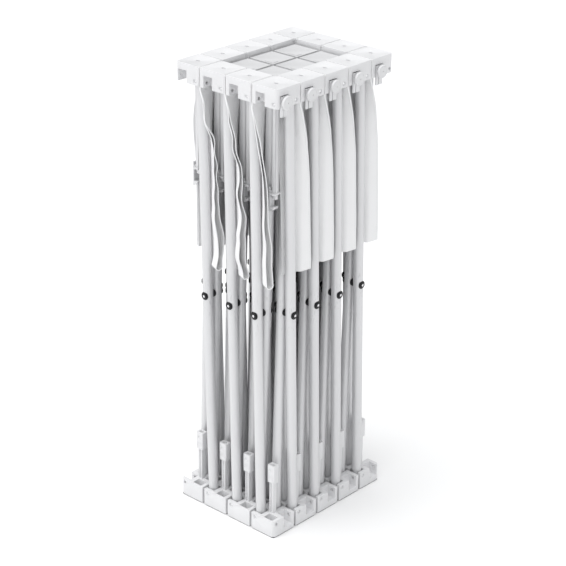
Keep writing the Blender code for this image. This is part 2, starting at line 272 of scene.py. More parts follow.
def makeRubberAndShadow():
    finish = Finish("darkRubber", (0.035, 0.035, 0.037), 0.82, IOR=1.45)
    dust = finish.noise(240.0, 5.0).between(0.5, 0.78)
    pebble = finish.noise(1100.0, 2.0)
    finish.shade(Base_Color=finish.mix(dust * 0.5, (0.028, 0.028, 0.03), (0.085, 0.085, 0.083)),
                 Roughness=0.74 + dust * 0.18)
    finish.bump(pebble, 0.5, 0.00012)
    return finish.material


tapeCloth = {"colour": (0.91, 0.91, 0.915), "thread": 0.00085, "rib": 0.0017, "selvedge": 0.055}


def makeTape(values):
    finish = Finish("wovenTape", values["colour"], 0.88, Sheen_Weight=0.35, Sheen_Roughness=0.45)
    tape = finish.node("ShaderNodeUVMap", {"uv_map": "tape"}).outputs[0]
    across = finish.axis(0, tape)
    along = finish.axis(1, tape)
    turn = 2 * pi / values["thread"]
    fuzz = finish.noise(1400.0, 4.0)
    warp = (across * turn).sine()
    weft = (along * turn + warp * 0.6).sine()
    ribs = (along * (2 * pi / values["rib"])).sine()
    weave = warp * weft * 0.5 + ribs * 0.25 + fuzz * 0.7
    # the woven edges are denser, with one sewn line inside each
    edge = (across / tapeWidth - 0.5).size() * 2
    selvedge = edge.between(1 - values["selvedge"], 1 - values["selvedge"] * 0.6)
    seam = 1 - (edge - (1 - values["selvedge"] * 2.2)).size().between(0.008, 0.03)
    stitch = (along * (2 * pi / 0.0034)).sine().between(-0.55, -0.1)
    soiled = finish.noise(26.0, 4.0).between(0.5, 0.85)
    base = finish.mix((weave * 0.5 + 0.4).between(0.0, 1.0) * 0.6,
                      darker(values["colour"], 0.93), values["colour"])
    base = finish.mix(selvedge * 0.35, base, (0.93, 0.93, 0.94))
    base = finish.mix(seam * stitch * 0.30, base, darker(values["colour"], 0.70))
    base = finish.mix(soiled * 0.12, base, darker(values["colour"], 0.82))
    finish.shade(Base_Color=base, Roughness=0.80 + fuzz * 0.14)
    finish.bump(weave + selvedge * 1.2 - seam * stitch * 1.5, 0.55, 0.00018)
    return finish.material


def makeFloor():
    finish = Finish("paleFloor", (0.93, 0.93, 0.93), 0.7)
    cloud = finish.noise(1.2, 3.0)
    finish.shade(Base_Color=finish.mix(cloud, (0.925, 0.925, 0.925), (0.94, 0.94, 0.94)))
    return finish.material


# ---- mesh helpers

def newObject(name, mesh):
    made = bpy.data.objects.new(name, mesh)
    bpy.context.scene.collection.objects.link(made)
    return made


def meshFrom(name, shape):
    bmesh.ops.remove_doubles(shape, verts=shape.verts, dist=1e-7)
    bmesh.ops.recalc_face_normals(shape, faces=shape.faces)
    mesh = bpy.data.meshes.new(name)
    shape.to_mesh(mesh)
    shape.free()
    return newObject(name, mesh)


def extruded(name, outline, low, high, turn=None):
    # a prism over an outline in the XY plane, turned afterwards if asked
    shape = bmesh.new()
    face = shape.faces.new([shape.verts.new((x, y, low)) for x, y in outline])
    grown = bmesh.ops.extrude_face_region(shape, geom=[face])["geom"]
    raised = [part for part in grown if isinstance(part, bmesh.types.BMVert)]
    bmesh.ops.translate(shape, verts=raised, vec=(0.0, 0.0, high - low))
    if turn:
        bmesh.ops.transform(shape, matrix=turn, verts=shape.verts)
    return meshFrom(name, shape)


def block(name, low, high):
    outline = [(low[0], low[1]), (high[0], low[1]), (high[0], high[1]), (low[0], high[1])]
    return extruded(name, outline, low[2], high[2])


def lathe(name, profile, start=(0.0, 0.0, 0.0), axis=(0.0, 0.0, 1.0), sides=32):
    # profile holds (radius, distance along the axis), from the bottom to the top
    shape = bmesh.new()
    rings = []
    for radius, along in profile:
        if radius == 0:
            rings.append([shape.verts.new((0.0, 0.0, along))])
            continue
        turns = [2 * pi * step / sides for step in range(sides)]
        rings.append([shape.verts.new((radius * cos(t), radius * sin(t), along)) for t in turns])
    for lower, upper in zip(rings, rings[1:]):
        for step in range(sides):
            after = (step + 1) % sides
            corners = [lower[step % len(lower)], lower[after % len(lower)],
                       upper[after % len(upper)], upper[step % len(upper)]]
            shape.faces.new(list(dict.fromkeys(corners)))
    for ring, flipped in ((rings[0], True), (rings[-1], False)):
        if len(ring) > 2:
            shape.faces.new(ring[::-1] if flipped else ring)
    facing = Vector(axis).to_track_quat("Z", "Y").to_matrix().to_4x4()
    bmesh.ops.transform(shape, matrix=Matrix.Translation(start) @ facing, verts=shape.verts)
    return meshFrom(name, shape)


def applied(made):
    # bakes the modifiers into a plain mesh
    bpy.context.view_layer.update()
    depsgraph = bpy.context.evaluated_depsgraph_get()
    mesh = bpy.data.meshes.new_from_object(made.evaluated_get(depsgraph))
    made.modifiers.clear()
    made.data = mesh
    return made


def boolean(target, others, operation):
    for other in others:
        step = target.modifiers.new("cut", "BOOLEAN")
        step.operation = operation
        step.solver = "EXACT"
        step.object = other
    applied(target)
    for other in others:
        bpy.data.objects.remove(other, do_unlink=True)
    return target


def rounded(made, width, segments=2, angle=32):
    step = made.modifiers.new("edges", "BEVEL")
    step.width = width
    step.segments = segments
    step.limit_method = "ANGLE"
    step.angle_limit = radians(angle)
    step.harden_normals = False
    return applied(made)


def joined(name, parts):
    # one mesh from several, without a boolean
    shape = bmesh.new()
    for part in parts:
        shape.from_mesh(part.data)
        bpy.data.objects.remove(part, do_unlink=True)
    mesh = bpy.data.meshes.new(name)
    shape.to_mesh(mesh)
    shape.free()
    return newObject(name, mesh)


def smooth(made, angle=35):
    made.data.shade_smooth()
    made.data.set_sharp_from_angle(angle=radians(angle))
    return made


def copied(prototype, name, change):
    mesh = prototype.data.copy()
    mesh.transform(change)
    if change.determinant() < 0:
        mesh.flip_normals()
    return newObject(name, mesh)


def discard(*prototypes):
    for prototype in prototypes:
        bpy.data.objects.remove(prototype, do_unlink=True)


def settle(made, material, body="frame", replaces=()):
    made.data.name = made.name
    made.data.materials.clear()
    made.data.materials.append(material)
    smooth(made)
    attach(made, body)
    if replaces:
        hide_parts(*replaces)
    return made


def ovalOutline(length, width, steps=10):
    points = []
    for side, start in ((1, -0.5), (-1, 0.5)):
        for step in range(steps + 1):
            angle = pi * (start + step / steps)
            points.append((side * (length - width) / 2 + width / 2 * cos(angle), width / 2 * sin(angle)))
    return points


def squareOutline(half, corners, radius, steps=8):
    # corners holds the signs of each corner that is rounded
    points = []
    for xSign, ySign, start in ((1, 1, 0.0), (-1, 1, 0.5), (-1, -1, 1.0), (1, -1, 1.5)):
        if (xSign, ySign) not in corners:
            points.append((xSign * half, ySign * half))
            continue
        for step in range(steps + 1):
            angle = pi * (start + 0.5 * step / steps)
            points.append((xSign * (half - radius) + radius * cos(angle),
                           ySign * (half - radius) + radius * sin(angle)))
    return points


# ---- Geometry Nodes: copies of one shape at many places, and tubes along many lines

def makeTree(name, numbers):
    tree = bpy.data.node_groups.new(name, "GeometryNodeTree")
    tree.interface.new_socket("Geometry", in_out="INPUT", socket_type="NodeSocketGeometry")
    kinds = {"Shape": "NodeSocketObject", "Finish": "NodeSocketMaterial", "Sides": "NodeSocketInt"}
    for number in numbers:
        tree.interface.new_socket(number, in_out="INPUT", socket_type=kinds.get(number, "NodeSocketFloat"))
    tree.interface.new_socket("Geometry", in_out="OUTPUT", socket_type="NodeSocketGeometry")
    return tree


def addNode(tree, kind, settings=None, sockets=None):
    made = tree.nodes.new(kind)
    for key, value in (settings or {}).items():
        setattr(made, key, value)
    for key, value in (sockets or {}).items():
        if isinstance(value, bpy.types.NodeSocket):
            tree.links.new(value, made.inputs[key])
        else:
            made.inputs[key].default_value = value
    return made


def endTree(tree, given, geometry):
    real = addNode(tree, "GeometryNodeRealizeInstances", None, {"Geometry": geometry})
    painted = addNode(tree, "GeometryNodeSetMaterial", None,
                      {"Geometry": real.outputs[0], "Material": given.outputs["Finish"]})
    addNode(tree, "NodeGroupOutput", None, {0: painted.outputs[0]})
    return tree


def makeScatterTree():
    tree = makeTree("copiesAtPoints", ["Shape", "Size", "Finish"])
    given = addNode(tree, "NodeGroupInput")
    shape = addNode(tree, "GeometryNodeObjectInfo", {"transform_space": "ORIGINAL"},
                    {"Object": given.outputs["Shape"]})
    facing = addNode(tree, "GeometryNodeInputNamedAttribute",
                     {"data_type": "FLOAT_VECTOR"}, {"Name": "facing"})
    turned = addNode(tree, "FunctionNodeAlignRotationToVector", {"axis": "Z"},
                     {"Vector": facing.outputs["Attribute"]})
    copies = addNode(tree, "GeometryNodeInstanceOnPoints", None,
                     {"Points": given.outputs["Geometry"], "Instance": shape.outputs["Geometry"],
                      "Rotation": turned.outputs[0], "Scale": given.outputs["Size"]})
    return endTree(tree, given, copies.outputs[0])


def makeTubeTree():
    tree = makeTree("tubesAlongLines", ["Radius", "Sides", "Finish"])
    given = addNode(tree, "NodeGroupInput")
    lines = addNode(tree, "GeometryNodeMeshToCurve", None, {"Mesh": given.outputs["Geometry"]})
    ring = addNode(tree, "GeometryNodeCurvePrimitiveCircle", None,
                   {"Resolution": given.outputs["Sides"], "Radius": given.outputs["Radius"]})
    skin = addNode(tree, "GeometryNodeCurveToMesh", None,
                   {"Curve": lines.outputs[0], "Profile Curve": ring.outputs[0], "Fill Caps": True})
    return endTree(tree, given, skin.outputs[0])


def runTree(made, tree, values):
    step = made.modifiers.new("nodes", "NODES")
    step.node_group = tree
    for item in tree.interface.items_tree:
        if item.in_out == "INPUT" and item.name in values:
            step[item.identifier] = values[item.name]
    applied(made)
    return made


def scatter(name, prototype, places, material, size=1.0):
    # places holds (point, the way its Z faces)
    mesh = bpy.data.meshes.new(name)
    mesh.from_pydata([point for point, facing in places], [], [])
    facings = mesh.attributes.new("facing", "FLOAT_VECTOR", "POINT")
    for index, (point, facing) in enumerate(places):
        facings.data[index].vector = facing
    made = newObject(name, mesh)
    return runTree(made, scatterTree, {"Shape": prototype, "Size": size, "Finish": material})


scatterTree = makeScatterTree()
tubeTree = makeTubeTree()
print("frame read, trees built")

# ---- hubs

hub = {"plate": 0.0125, "endWall": 0.003, "reach": 0.0195, "layer": 0.011, "slotHalf": 0.0105,
       "cornerRadius": 0.008,
       "pivotDepth": 0.0275, "pivotRadius": 0.0031, "pivotSeat": 0.0044, "edge": 0.0007,
       "lipInset": 0.0024, "lipWidth": 0.0006, "lipDepth": 0.0004, "dimple": (0.009, 0.006, 0.0062),
       "padHeight": 0.0015, "markInset": 0.006, "markArms": (0.021, 0.014), "markWidth": 0.0016,
       "markDepth": 0.003}


def quarterTurn(quarter):
    return Matrix.Rotation(quarter * pi / 2, 4, "Z")


def slotCutters(closed):
    # one slot can keep a wall at its outer end, as the lower hubs' slots do along one side
    cutters = []
    for quarter in range(4):
        end = halfHub - hub["endWall"] if closed and quarter == 1 else halfHub + 0.001
        low = (hub["reach"] - hub["slotHalf"], -hub["layer"] - hub["slotHalf"], -hubHeight - 0.001)
        slot = block("slot", low, (end, -hub["layer"] + hub["slotHalf"], -hub["plate"]))
        slot.data.transform(quarterTurn(quarter))
        cutters.append(slot)
    return cutters


def pivotCutters():
    # a through hole for the pin of each slot, and a shallow seat round its mouth
    cutters = []
    for quarter in range(4):
        mouth = (hub["reach"], -halfHub - 0.001, -hub["pivotDepth"])
        length = halfHub + 0.001 + 0.004
        hole = lathe("hole", [(hub["pivotRadius"], 0.0), (hub["pivotRadius"], length)], mouth, (0, 1, 0), 20)
        seat = lathe("seat", [(hub["pivotSeat"], 0.0), (hub["pivotSeat"], 0.0018)], mouth, (0, 1, 0), 20)
        for cutter in (hole, seat):
            cutter.data.transform(quarterTurn(quarter))
            cutters.append(cutter)
    return cutters


def hubShape(name, corners, drop=0.0, lift=0.0, closed=False):
    # the outer plate is at z = 0 and the hub hangs below it
    body = extruded(name, squareOutline(halfHub, corners, hub["cornerRadius"]), -hubHeight, -drop - lift)
    shape = bmesh.new()
    shape.from_mesh(body.data)
    plate = [face for face in shape.faces if face.normal.z > 0.9]
    bmesh.ops.inset_region(shape, faces=plate, thickness=hub["lipInset"])
    bmesh.ops.inset_region(shape, faces=plate, thickness=hub["lipWidth"], depth=-hub["lipDepth"])
    shape.to_mesh(body.data)
    shape.free()
    cutters = slotCutters(closed) + pivotCutters()
    if drop:
        # an L-shaped mark in the inner plates, with a round sink near the end of one arm
        x, y, half = halfHub - hub["markInset"], hub["markInset"] - halfHub, hub["markWidth"] / 2
        floor, ceiling = -drop - hub["markDepth"], -drop + 0.001
        long, short = hub["markArms"]
        cutters.append(block("mark", (x - long, y - half, floor), (x + half, y + half, ceiling)))
        cutters.append(block("mark", (x - half, y - half, floor), (x + half, y + short, ceiling)))
        sink = [(x + px, y + short - 0.003 + py) for px, py in ovalOutline(0.0026, 0.0024)]
        cutters.append(extruded("mark", sink, floor, ceiling))
    elif not lift:
        length, width, depth = hub["dimple"]
        cutters.append(extruded("dimple", ovalOutline(length, width), -depth, 0.001))
    boolean(body, cutters, "DIFFERENCE")
    return rounded(body, hub["edge"], 2, 40)


def rimCorners(column, row):
    xSign = {0: -1, columns - 1: 1}.get(column)
    ySign = {0: -1, rows - 1: 1}.get(row)
    return frozenset([(xSign, ySign)] if xSign and ySign else [])


def makeHubs(plastic, shadedInnerPlastic):
    flip = Matrix.Rotation(pi, 4, "X")
    shapes = {}
    for column, row in gridPlaces():
        corners = rimCorners(column, row)
        centre = hubCentre(column, row)
        name = f"{column + 1}_{row + 1}"
        inner = not onRim(column, row)
        key = (corners, inner, row == 0)
        if key not in shapes:
            shapes[key] = hubShape("upperShape", corners, innerDrop if inner else 0.0)
            turned = frozenset((x, -y) for x, y in corners)
            shapes[key] = (shapes[key], hubShape("lowerShape", turned, 0.0, hub["padHeight"], row == 0))
        upper = copied(shapes[key][0], f"upperHub_{name}", Matrix.Translation(centre + up * top))
        lower = copied(shapes[key][1], f"lowerHub_{name}", Matrix.Translation(centre) @ flip)
        cad = ["upper_inner_hub_", "inner_column_"] if inner else ["upper_hub_", "lower_hub_"]
        # the inner hubs take the darker copy of the hub plastic, which is painted shade
        settle(upper, shadedInnerPlastic if inner else plastic, replaces=[cad[0] + name])
        settle(lower, plastic, replaces=[cad[1] + name])
    for pair in shapes.values():
        discard(*pair)


# a dark pad under each lower hub: rubber, and also a painted shadow line where shade falls under the hub
def makePads(rubberAndShadow):
    outline = squareOutline(halfHub - 0.0006, {(1, 1), (-1, 1), (1, -1), (-1, -1)}, 0.005)
    pad = rounded(extruded("pad", outline, 0.0, hub["padHeight"] + 0.0002), 0.0003, 1)
    places = [(hubCentre(*place), up) for place in gridPlaces()]
    pads = scatter("rubberPads", pad, places, rubberAndShadow)
    discard(pad)
    settle(pads, rubberAndShadow)


# ---- tubes, their end plugs, pins and middle bolts

tube = {"radius": 0.0095, "endDepth": 0.0145, "sides": 28, "plugRadius": 0.0086, "plugLength": 0.0012}
bolt = {"headRadius": 0.0063, "headHeight": 0.0024, "socket": 0.0030, "washerRadius": 0.0078,
        "spacerRadius": 0.0075, "nutRadius": 0.0062, "pinRadius": 0.0028,
        "pinLength": 0.0285, "pinInset": 0.0016, "screw": 0.005}


def tubeEnds(start, along, side):
    # the two tubes of a pair, each as its upper and its lower end
    near = start + along * hub["reach"]
    far = start + along * (pitch - hub["reach"])
    high = up * (top - tube["endDepth"])
    low = up * tube["endDepth"]
    layer = side * hub["layer"]
    return [(near + layer + high, far + layer + low), (far - layer + high, near - layer + low)]


def makeTubes(coat, plastic):
    points = [end for gap in allGaps() for ends in tubeEnds(*gap) for end in ends]
    mesh = bpy.data.meshes.new("tubes")
    mesh.from_pydata(points, [(2 * i, 2 * i + 1) for i in range(len(points) // 2)], [])
    tubes = newObject("tubes", mesh)
    runTree(tubes, tubeTree, {"Radius": tube["radius"], "Sides": tube["sides"], "Finish": coat})
    rims = [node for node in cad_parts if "scissor" in node]
    settle(tubes, coat, replaces=rims)
    plug = lathe("plug", [(0, 0), (tube["plugRadius"], 0), (tube["plugRadius"], tube["plugLength"] * 0.6),
                          (tube["plugRadius"] * 0.9, tube["plugLength"]), (0, tube["plugLength"])])
    places = []
    for gap in allGaps():
        for upper, lower in tubeEnds(*gap):
            away = (upper - lower).normalized()
            places += [(upper, away), (lower, -away)]
    plugs = scatter("endPlugs", plug, places, plastic)
    discard(plug)
    settle(plugs, plastic)


def pinProfile(length):
    radius = bolt["pinRadius"]
    return [(0, 0), (radius, 0), (radius, length - 0.0005), (radius * 0.8, length), (0, length)]


def makeBolts(black, bright):
    high = hub["layer"] + tube["radius"]
    heads, washers, spacers, nuts, pins = [], [], [], [], []
    for start, along, side in allGaps():
        middle = start + along * pitch / 2 + up * top / 2
        heads.append((middle + side * high, side))
        nuts.append((middle - side * high, -side))
        spacers.append((middle - side * (hub["layer"] - tube["radius"]), side))
        washers += [(middle + side * (high - 0.0016), side), (middle - side * (high - 0.0016), -side)]
        for upper, lower in tubeEnds(start, along, side):
            for end, depth in ((upper, top - hub["pivotDepth"]), (lower, hub["pivotDepth"])):
                outward = side if (end - start).dot(side) > 0 else -side
                pin = Vector((end.x, end.y, depth)) + outward * (halfHub - hub["layer"] - bolt["pinInset"])
                pins.append((pin - outward * bolt["pinLength"], outward))
    # a short screw through the wall of each slot that holds a foot
    out = shortWay[1]
    inset = Vector((hub["reach"], 0.0, top - hub["pivotDepth"]))
    inset += out * (halfHub - bolt["pinInset"] - bolt["screw"])
    screws = [(hubCentre(columns - 1, row) + inset, out) for row in range(rows)]
    radius, height = bolt["headRadius"], bolt["headHeight"]
    dome = [(0, -0.001), (radius * 0.98, -0.001), (radius, 0.0004), (radius * 0.96, height * 0.55),
            (radius * 0.82, height * 0.85), (radius * 0.62, height), (bolt["socket"], height),
            (bolt["socket"] * 0.94, height * 0.45), (0, height * 0.45)]
    socket, washer = bolt["socket"], bolt["washerRadius"]
    spacer, nut = bolt["spacerRadius"], bolt["nutRadius"]
    centre = [(0, 0), (socket * 0.86, 0), (socket * 0.86, height * 0.78), (socket * 0.7, height * 0.9),
              (0, height * 0.9)]
    ring = [(0, 0), (washer, 0), (washer, 0.0014), (washer * 0.93, 0.0018), (0, 0.0018)]
    between = [(0, -0.001), (spacer, -0.001), (spacer, 0.004), (0, 0.004)]
    sixSided = [(0, 0), (nut, 0), (nut, height * 0.8), (nut * 0.86, height), (socket, height),
                (socket * 0.9, height * 0.8), (0, height * 0.8)]
    shapes = {"boltHeads": (dome, 28, heads, black), "boltCentres": (centre, 20, heads, bright),
              "boltWashers": (ring, 28, washers, black), "spacerWashers": (between, 28, spacers, black),
              "boltNuts": (sixSided, 6, nuts, black),
              "hubPins": (pinProfile(bolt["pinLength"]), 16, pins, bright),
              "bracketScrews": (pinProfile(bolt["screw"]), 16, screws, bright)}
    for name, (profile, sides, places, material) in shapes.items():
        shape = lathe("shape", profile, sides=sides)
        made = scatter(name, shape, places, material)
        discard(shape)
        settle(made, material)


# ---- lock rods, which hang from the upper rim hubs, and posts on the lower ones

rod = {"across": 0.0062, "along": 0.0105, "length": 0.162, "groove": (0.0012, 0.0024, 0.0016),
       "collar": (0.0052, 0.0085, 0.0036), "stub": (0.0033, 0.0125), "catchBack": 0.0105, "catch": 0.003,
       "catchWidth": 0.012, "rise": 0.009, "prongDrop": 0.027, "tipDrop": 0.0365, "prongReach": 0.0015}
post = {"width": 0.0098, "length": 0.064, "blockLength": 0.0175, "blockWidth": 0.0135, "blockHeight": 0.036,
        "holeLength": 0.0105, "holeWidth": 0.0058, "holeDepth": 0.02}


def slottedBar(width, low, high, rail, core):
    # two rails with a sunk web between them
    half = width / 2
    outline = [(-half, -half), (-half + rail, -half), (-half + rail, -core), (half - rail, -core),
               (half - rail, -half), (half, -half), (half, half), (half - rail, half),
               (half - rail, core), (-half + rail, core), (-half + rail, half), (-half, half)]
    return rounded(extruded("bar", outline, low, high), 0.0005, 1, 60)


def rodShape():
    # a flat bar with a fine groove by each long edge, a flange, a stub and a hooked catch
    x, y, end = rod["across"] / 2, rod["along"] / 2, -hubHeight - rod["length"]
    start, stop, deep = rod["groove"]
    right = [(x, -y), (x, -y + start), (x - deep, -y + start), (x - deep, -y + stop), (x, -y + stop),
             (x, y - stop), (x - deep, y - stop), (x - deep, y - start), (x, y - start), (x, y)]
    outline = right + [(-px, -py) for px, py in right]
    bar = rounded(extruded("bar", outline, end - 0.0005, -hubHeight + 0.0005), 0.0003, 1, 60)
    wide, deep, height = rod["collar"]
    collar = rounded(block("collar", (-wide, -deep, end - height), (wide, deep, end)), 0.0006)
    half, length = rod["stub"]
    stub = rounded(block("stub", (-half, -half, end - length), (half, half, end - height + 0.0005)), 0.0006)
    back, face = -rod["catchBack"], rod["catch"] - rod["catchBack"]
    bridge = block("bridge", (face - 0.0005, -0.005, end - height), (-wide + 0.0008, 0.005, end + 0.0035))
    prong, tip, reach = end - rod["prongDrop"], end - rod["tipDrop"], rod["prongReach"]
    outline = [(back, end + rod["rise"]), (back, tip + 0.001),
               (back + 0.0012, tip), (back + 0.0026, tip + 0.0002),
               (reach - 0.001, prong - 0.0034), (reach, prong - 0.0024), (reach, prong + 0.0008),
               (reach - 0.0012, prong + 0.0012), (reach - 0.0026, prong), (face, prong),
               (face, end + rod["rise"] - 0.002), (face - 0.0014, end + rod["rise"])]
    upright = Matrix.Rotation(pi / 2, 4, "X")
    catch = extruded("catch", outline, -rod["catchWidth"] / 2, rod["catchWidth"] / 2, upright)
    return joined("rodShape", [bar, collar, stub, rounded(bridge, 0.0003, 1), rounded(catch, 0.0004, 1, 30)])


def postShape():
    low, mouth = hubHeight - 0.0005, hubHeight + post["length"] + post["blockHeight"]
    foot = mouth - post["blockHeight"]
    bar = slottedBar(post["width"], low, foot + 0.0005, 0.0028, 0.0024)
    outline = []
    half, deep = post["blockLength"] / 2, post["blockWidth"] / 2
    for x, y, start in ((1, 1, 0.0), (-1, 1, 0.5), (-1, -1, 1.0), (1, -1, 1.5)):
        for step in range(5):
            angle = pi * (start + step / 8)
            outline.append((x * (half - 0.0025) + 0.0025 * cos(angle),
                            y * (deep - 0.0025) + 0.0025 * sin(angle)))
    head = extruded("head", outline, foot, mouth)
    opening = ovalOutline(post["holeLength"], post["holeWidth"])
    hole = extruded("hole", opening, mouth - post["holeDepth"], mouth + 0.001)
    cuts = [hole]
    for side in (-1, 1):
        # a sunk panel on each broad side, and a window for the catch's nose
        cuts.append(block("panel", (-half + 0.0035, side * deep - 0.0008, foot + 0.004),
                          (half - 0.0035, side * deep + 0.0008, foot + 0.013)))
        cuts.append(block("window", (-0.004, side * deep - 0.0012, mouth - 0.014),
                          (0.004, side * deep + 0.001, mouth - 0.008)))
    boolean(head, cuts, "DIFFERENCE")
    return joined("postShape", [bar, rounded(head, 0.0006, 2, 40)])


def makeRodsAndPosts(plastic, coat):
    hanging, standing = rodShape(), postShape()
    for column, row in gridPlaces(rim=True):
        centre, name = hubCentre(column, row), f"{column + 1}_{row + 1}"
        rodHere = copied(hanging, f"lockRod_{name}", Matrix.Translation(centre + up * top))
        postHere = copied(standing, f"socketPost_{name}", Matrix.Translation(centre))
        settle(rodHere, coat)
        settle(postHere, plastic)
    discard(hanging, standing)


# ---- levelling feet and their brackets

foot = {"plate": 0.003, "span": 0.017, "drop": 0.015, "proud": 0.00125, "depth": 0.0245, "radius": 0.012,
        "thickness": 0.005, "stemRadius": 0.0035, "stemLength": 0.018, "thread": 0.0012,
        "slit": (0.0056, 0.002), "bore": 0.0040}


def bracketShape():
    # two plates inside the slot, and a split tongue in front of them that hangs below the hub
    middle, half = -hub["layer"], foot["span"] / 2
    inner = hub["reach"] - hub["slotHalf"]
    face, ceiling, bottom = halfHub + foot["proud"], -hub["plate"] - 0.002, -hubHeight - foot["drop"]
    back = face - foot["plate"]
    parts = []
    for side in (-1, 1):
        low, high = sorted((middle + side * half, middle + side * (half - foot["plate"])))
        plate = block("plate", (inner, low, -hubHeight), (back + 0.0004, high, ceiling))
        parts.append(rounded(plate, 0.0004, 1))
    tongue = block("tongue", (back, middle - half, bottom), (face, middle + half, ceiling))
    start, width = foot["slit"]
    slit = middle - half + start
    bore = [(foot["bore"], 0), (foot["bore"], 0.02)]
    cuts = [block("slit", (back - 0.001, slit, bottom - 0.001),
                  (face + 0.001, slit + width, -hubHeight - 0.0005)),
            lathe("hole", bore, (back - 0.01, middle, -foot["depth"]), (1, 0, 0), 24)]
    boolean(tongue, cuts, "DIFFERENCE")
    web = block("web", (inner, middle - half + 0.001, -hubHeight),
                (inner + foot["plate"], middle + half - 0.001, ceiling))
    sleeve = lathe("sleeve", [(0.0037, 0), (0.0052, 0), (0.0054, 0.0006), (0.0054, 0.0085), (0.0050, 0.009),
                              (0.0037, 0.009)], (halfHub - 0.006, middle, -foot["depth"]), (1, 0, 0), 24)
    return joined("bracketShape", [*parts, rounded(tongue, 0.0004, 1, 40), rounded(web, 0.0004, 1), sleeve])


def padProfile():
    # from the tip of the threaded stem to the middle of the pad's face
    radius, back = foot["radius"], -foot["thickness"]
    start = back - foot["stemLength"]
    profile = [(0, start), (foot["stemRadius"] * 0.7, start)]
    turns = int((foot["stemLength"] - 0.003) / foot["thread"])
    for turn in range(turns):
        along = start + 0.0006 + turn * foot["thread"]
        profile += [(foot["stemRadius"] * 0.86, along), (foot["stemRadius"], along + foot["thread"] / 2)]
    profile += [(foot["stemRadius"] * 0.9, back - 0.0018), (0.0055, back - 0.0016), (0.0058, back - 0.0002)]
    profile += [(radius * 0.88, back), (radius * 0.97, back + 0.0005), (radius, back + 0.0014)]
    profile += [(radius, -0.0012), (radius * 0.965, -0.0004), (radius * 0.92, 0.0), (radius * 0.80, 0.0)]
    profile += [(radius * 0.77, -0.0004), (radius * 0.74, 0.0)]
    profile += [(0.0012, 0.0), (0.0010, -0.0012), (0, -0.0012)]
    return profile


def makeFeet(plastic, padPlastic):
    bracket = bracketShape()
    shape = lathe("padShape", padProfile(), sides=48)
    shape.data.transform(Matrix.Rotation(pi / 2, 4, "Y"))
    for row in range(rows):
        centre = hubCentre(columns - 1, row)
        held = copied(bracket, f"footBracket_{row + 1}", Matrix.Translation(centre + up * top))
        settle(held, plastic)
        node = f"foot_{row + 1}"
        low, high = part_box(node)
        face = Vector((high.x, (low.y + high.y) / 2, (low.z + high.z) / 2))
        pad = copied(shape, f"levellingFoot_{row + 1}", Matrix.Translation(face))
        settle(pad, padPlastic, body=node, replaces=[node])
    discard(bracket, shape)


# ---- edge ribbon: a loop of tape in every gap of the rim

# cloth is the share of the beads' thickness, late is how far behind the others a loop turns
ribbon = {"inner": 0.0250, "outer": 0.0278, "thickness": 0.0017, "cloth": 0.55, "bead": 0.0019, "across": 18,
          "down": 130, "top": 0.0004, "topSpread": 0.0014, "hubSpread": 0.0018, "pinch": 0.0008,
          "wavy": {1: 1.7, 3: 1.1, 5: 0.35},
          "depths": (0.034, 0.060, 0.123, 0.198, 0.366),
          "late": {1: 1.0, 3: 0.94, 5: 0.84},
          "short": {"turns": (0, 16, 42, 56, 69), "shifts": (0, 0.001, 0.005, 0.009, 0.016), "drop": 0.366,
                    "rise": 0.0, "flare": 0.0036, "wave": 0.0036},
          "long": {"turns": (0, 14, 42, 56, 63.5), "shifts": (0, 0.001, 0.0065, 0.0115, 0.0155),
                   "drop": 0.360, "rise": 0.010, "flare": 0.0016, "wave": 0.0010},
          "back": {"turns": (0, 14, 44, 61, 65), "shifts": (0, 0, 0.0042, 0.0005, -0.001), "drop": 0.360,
                   "rise": 0.006, "flare": 0.0006, "wave": 0.0006}}
tapeWidth = ribbon["inner"] + ribbon["outer"]


def rimGaps():
    gaps = []
    for c in range(columns - 1):
        for r, out in ((0, -1.0), (rows - 1, 1.0)):
            gaps.append(((hubCentre(c, r) + hubCentre(c + 1, r)) / 2, Vector((0.0, out, 0.0)),
                         [f"upperHub_{c + 1}_{r + 1}", f"upperHub_{c + 2}_{r + 1}"]))
    for r in range(rows - 1):
        for c, out in ((0, -1.0), (columns - 1, 1.0)):
            gaps.append(((hubCentre(c, r) + hubCentre(c, r + 1)) / 2, Vector((out, 0.0, 0.0)),
                         [f"upperHub_{c + 1}_{r + 1}", f"upperHub_{c + 1}_{r + 2}"]))
    return gaps


def ease(share):
    share = min(1.0, max(0.0, share))
    return share * share * (3 - 2 * share)


def eased(depth, values):
    # a smooth curve through the values that the ribbon takes at its marked depths
    marks = ribbon["depths"]
    last = len(marks) - 1
    if depth <= marks[0] or depth >= marks[last]:
        return values[0] if depth <= marks[0] else values[last]
    index = max(i for i in range(last) if marks[i] <= depth)
    slopes = [0.0]
    slopes += [(values[i + 1] - values[i - 1]) / (marks[i + 1] - marks[i - 1]) for i in range(1, last)]
    slopes.append(0.0)
    length = marks[index + 1] - marks[index]
    share = (depth - marks[index]) / length
    rest = 1 - share
    return (values[index] * (1 + 2 * share) * rest ** 2 + values[index + 1] * share ** 2 * (3 - 2 * share)
            + length * share * rest * (slopes[index] * rest - slopes[index + 1] * share))


